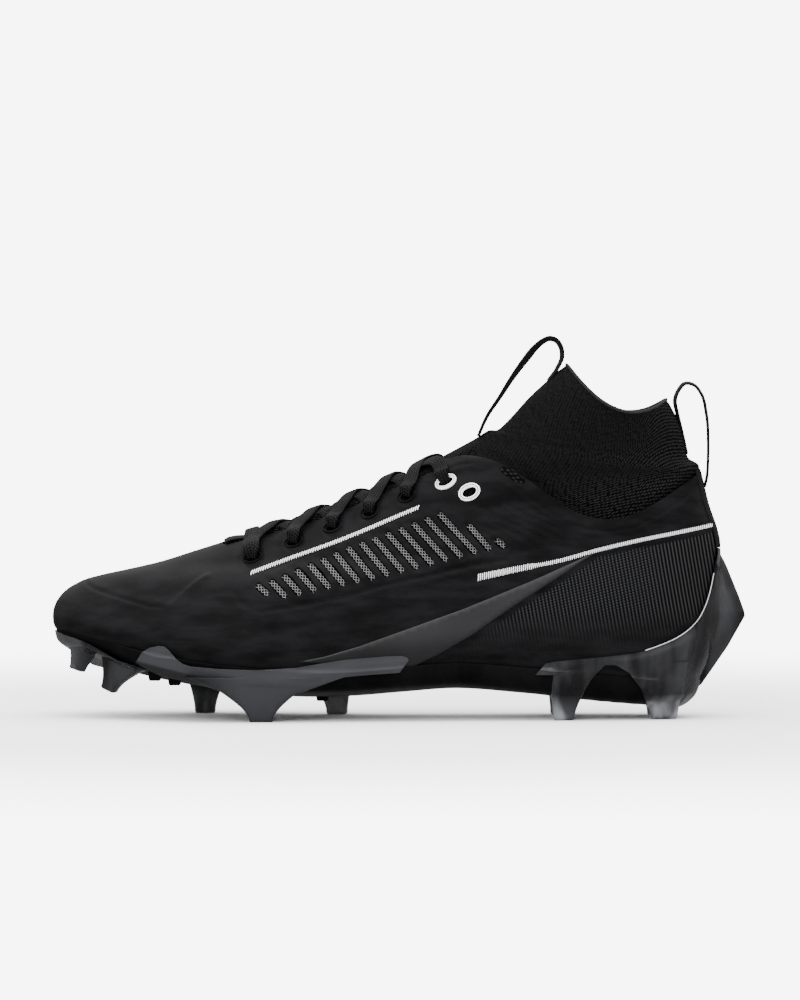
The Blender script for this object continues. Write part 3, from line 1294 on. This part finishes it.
def piping(name, line, radius, over):
    """Thin pale raised line on the outer side that lies on a piece or, beside it, on the shoe."""
    corners = [v.co for v in over.data.vertices]
    tree = BVHTree.FromPolygons(corners, [tuple(face.vertices) for face in over.data.polygons])
    points = curve_points(line, 1.0 * MM)
    normals, reach = [], []
    for x, z in points:
        point, normal = on_side(x, z, -1)
        outmost = -point.y
        for dx, dz in ((0, 0), (0.7, -0.7), (0.4, -0.2), (0.2, -0.4)):
            hit = tree.ray_cast(Vector((x + dx * MM, -FAR_ASIDE, z + dz * MM)), Vector((0, 1, 0)))[0]
            if hit is not None:
                outmost = max(outmost, -hit.y)
        normals.append(normal)
        reach.append(outmost)
    evened = np.convolve(np.pad(reach, 2, "edge"), np.ones(5) / 5, "valid")
    path = [
        Vector((x, -max(depth, even), z)) + normal * 0.4 * radius
        for (x, z), normal, depth, even in zip(points, normals, reach, evened)
    ]
    return dress(from_arrays(name, *tube(path, radius, 10)), EDGE)


def oval_on_body(number, side, a, b, count, height):
    """Oval round an eyelet, with every point at a height over the body."""
    flat = oval(*on_side(*EYELET_POINTS[number], side), a, b, count)
    return [lifted(p.x, p.z, side, height) for p in flat]


def eyelet_ring(name, number, side, node):
    """Pale oval ring with a fine groove round it."""
    count = 56

    def ring(offset, height):
        a, b = ((half - offset * RING_WIDTH) * MM for half in (4.0, 2.85))
        return oval_on_body(number, side, a, b, count, height * MM)

    groove = ring(0.01, 0.42)
    verts, faces = tube(groove + groove[:2], 0.24 * MM, 6)
    dress(from_arrays(name + "_groove", verts, faces), MESH_THREAD)
    rings = [ring(offset, height) for offset, height in RING_PROFILE]
    last = (len(rings) - 1) * count
    faces = [*grid_faces(len(rings), count)]
    faces += [[last + i, last + (i + 1) % count, (i + 1) % count, i] for i in range(count)]
    return dress(clean(from_arrays(name, np.array(rings).reshape(-1, 3), faces)), WHITE, [node])


def eyelet_rim(name, number, side):
    """Soft pressed rim round one of the lower eyelets."""
    path = oval_on_body(number, side, 3.9 * MM, 3.3 * MM, 40, 0)
    dress(from_arrays(name, *tube(path + path[:2], 0.4 * MM, 8)), SKIN)


def rings():
    for side, word in zip(SIDES, ("lateral", "medial")):
        for number in range(len(EYELETS)):
            if number < LOW_EYELETS:
                eyelet_rim(f"rim_{word}_{number + 1}", number, side)
            else:
                eyelet_ring(f"ring_{word}_{number + 1}", number, side, f"eyelet_ring_{word}_{number + 1}")


# Loops and tape

FRONT_LOOP = pairs(
    639, 795, 653, 853, 671, 904, 690, 960, 711, 1014, 726, 1048, 738, 1066, 746, 1072, 756, 1067, 763, 1049,
    765, 1020, 758, 988, 744, 952,
)
HEEL_LOOP = pairs(
    979.5, 652, 983, 680, 984.5, 720, 985, 770, 982, 860, 974.5, 915, 963, 941, 950, 945, 940, 925, 935, 900,
    938, 862, 943.5, 820, 948.5, 780, 952.5, 745,
)


def loop(name, table, twist, node):
    """Webbing loop along a table of side shares, twisted by a table of angles."""
    line = curve_points([(x, CENTRE[1], z) for x, z in side_points(table)], 0.8 * MM)
    ahead = np.gradient(line, axis=0)
    normals = unit(np.stack([-ahead[:, 2], 0 * ahead[:, 1], ahead[:, 0]], axis=1))
    angle = np.interp(np.linspace(0, 1, len(line)), *twist)[:, None]
    normals = normals * np.cos(angle) + np.array((0, 1, 0)) * np.sin(angle)
    return dress(strap(name, line, normals, LOOP_WIDTH, LOOP_WALL), WEBBING, [node])


def heel_tape():
    """Webbing down the back seam."""
    verts, uvs = [], []
    rows = np.linspace(0.481 * COLLAR_HEIGHT, 0.70 * COLLAR_HEIGHT, 26)
    columns = np.linspace(-TAPE_HALF, TAPE_HALF, 25)
    for z in rows:
        for y in columns:
            point, normal = meet((UPPER_LENGTH, CENTRE[1] + y, z), (-1, 0, 0))
            lift = 0.95 * MM * (1 - abs(y / TAPE_HALF) ** 8)
            verts.append(point + normal * (0.1 * MM + lift))
            uvs.append((z, y))
    obj = from_arrays("heel_webbing", verts, grid_faces(len(rows), len(columns), closed=False), np.array(uvs))
    return dress(clean(obj), WEBBING, ["heel_tape"])


# Small details


def throat_tab():
    """Short woven tab at the front of the throat."""
    keys = []
    for share, lift in ((0.258, -0.1), (0.263, 0.4), (0.272, 0.35), (0.29, -0.6)):
        point, normal = on_top(along(share), CENTRE[1])
        keys.append((point + normal * lift * MM, normal, 1.0))
    points, normals, _ = lace_path(keys)
    return dress(strap("throat_tab", points, normals, 9 * MM, 1.0 * MM), LACE)


def top_window():
    """Small knitted window under the top line."""
    obj = patch("top_window", WINDOW_OUTLINE, 0.3 * MM, 0.3 * MM, 0.8 * MM, base=0.15 * MM)
    return dress(obj, WINDOW)


# Studio

# Name, place, size and power
LIGHTS = (
    ("top", (-0.1, -0.25, 1.2), (1.0, 0.8), 15.0),
    ("front", (-0.5, -1.7, 0.9), (1.2, 0.8), 30.0),
)


def floor():
    """Pale seamless floor and backdrop, brighter far from the shoe."""
    rows = [(-4.0, 0.0), (2.4, 0.0)]
    rows += [(2.4 + 0.8 * math.sin(t), 0.8 - 0.8 * math.cos(t)) for t in np.linspace(0.1, math.pi / 2, 14)]
    rows.append((3.2, 1.2))
    verts = [(x, y, z) for y, z in rows for x in (-4.0, 4.0)]
    faces = [(2 * i, 2 * i + 1, 2 * i + 3, 2 * i + 2) for i in range(len(rows) - 1)]
    obj = from_arrays("floor", verts, faces)
    s = Shader("floor", (0.7, 0.7, 0.703), 0.7, Specular_IOR_Level=0.0, Emission_Color=(1, 1, 1, 1))
    away = s.node("VectorMath", {0: s.place()}, operation="LENGTH").outputs["Value"]
    far = s.span(away, 0.2, 0.7, interpolation_type="SMOOTHSTEP")
    s.colour(s.mix(far, (0.7, 0.7, 0.703), (0.1, 0.1, 0.1)))
    s.feed(s.main.inputs["Emission Strength"], s.mul(far, 7.0))
    obj.data.materials.append(s.material)
    obj.visible_glossy = False


def dome():
    """Soft white light from all round, brightest overhead."""
    world = bpy.data.worlds.new("studio")
    world.use_nodes = True
    tree = world.node_tree
    split = tree.nodes.new("ShaderNodeSeparateXYZ")
    tree.links.new(tree.nodes.new("ShaderNodeTexCoord").outputs["Generated"], split.inputs[0])
    rise = tree.nodes.new("ShaderNodeMapRange")
    rise.interpolation_type = "SMOOTHSTEP"
    for key, value in (("From Min", 0.0), ("From Max", 1.0), ("To Min", 0.3), ("To Max", 5.5)):
        rise.inputs[key].default_value = value
    tree.links.new(split.outputs["Z"], rise.inputs["Value"])
    tree.links.new(rise.outputs[0], tree.nodes["Background"].inputs["Strength"])
    tree.nodes["Background"].inputs["Color"].default_value = (1, 1, 1, 1)
    bpy.context.scene.world = world


def aimed(name, data, place, target):
    """Object for a light or a camera at a place, looking at a target."""
    obj = new_object(name, data)
    obj.location = place
    obj.rotation_euler = (Vector(target) - obj.location).to_track_quat("-Z", "Y").to_euler()
    return obj


def lights():
    for name, place, size, power in LIGHTS:
        light = bpy.data.lights.new(name, "AREA")
        light.shape = "RECTANGLE"
        light.size, light.size_y = size
        light.energy = power
        aimed(name, light, place, (0, 0, 0.07))


def camera():
    """The photo's view: from the outer side, just above the ground, through a long lens."""
    target = Vector((0.51 * MM, CENTRE[1], 92.8 * MM))
    tilt = math.radians(1.2)
    distance = 2.6
    data = bpy.data.cameras.new("camera")
    data.lens = 218.8
    data.sensor_width = 36
    data.clip_start, data.clip_end = 0.05, 20
    place = target + Vector((0, -math.cos(tilt), math.sin(tilt))) * distance
    bpy.context.scene.camera = aimed("camera", data, place, target)


skin()
vent_mesh()
sock()
collar_rim()
insole()
plate()
clips()
quarter_band()
laces()
rings()
loop("front_pull", FRONT_LOOP, ((0, 0.25, 0.55, 0.75, 1), (0.05, 0.12, 0.3, 0.15, 0.05)), "front_loop")
loop("heel_pull", HEEL_LOOP, ((0, 0.4, 1), (0.02, 0.1, 0.02)), "heel_loop")
heel_tape()
throat_tab()
top_window()
piping("heel_clip_edge", HEEL_EDGE, 0.2 * MM, over=bpy.data.objects["heel_wrap"])
EVEN = ((0, 1), (1.35 * MM, 1.35 * MM))
NARROWING = ((0, 0.225, 0.25, 1), (2.7 * MM, 2.2 * MM, 1.5 * MM, 1.4 * MM))
thread_row("stitch_front", STITCH_A, EVEN, pitch=1.05 * MM, radius=0.25 * MM, lean=0.6)
thread_row("stitch_heel", STITCH_B, NARROWING, pitch=0.88 * MM, radius=0.2 * MM, lean=0.4)
floor()
dome()
lights()
camera()
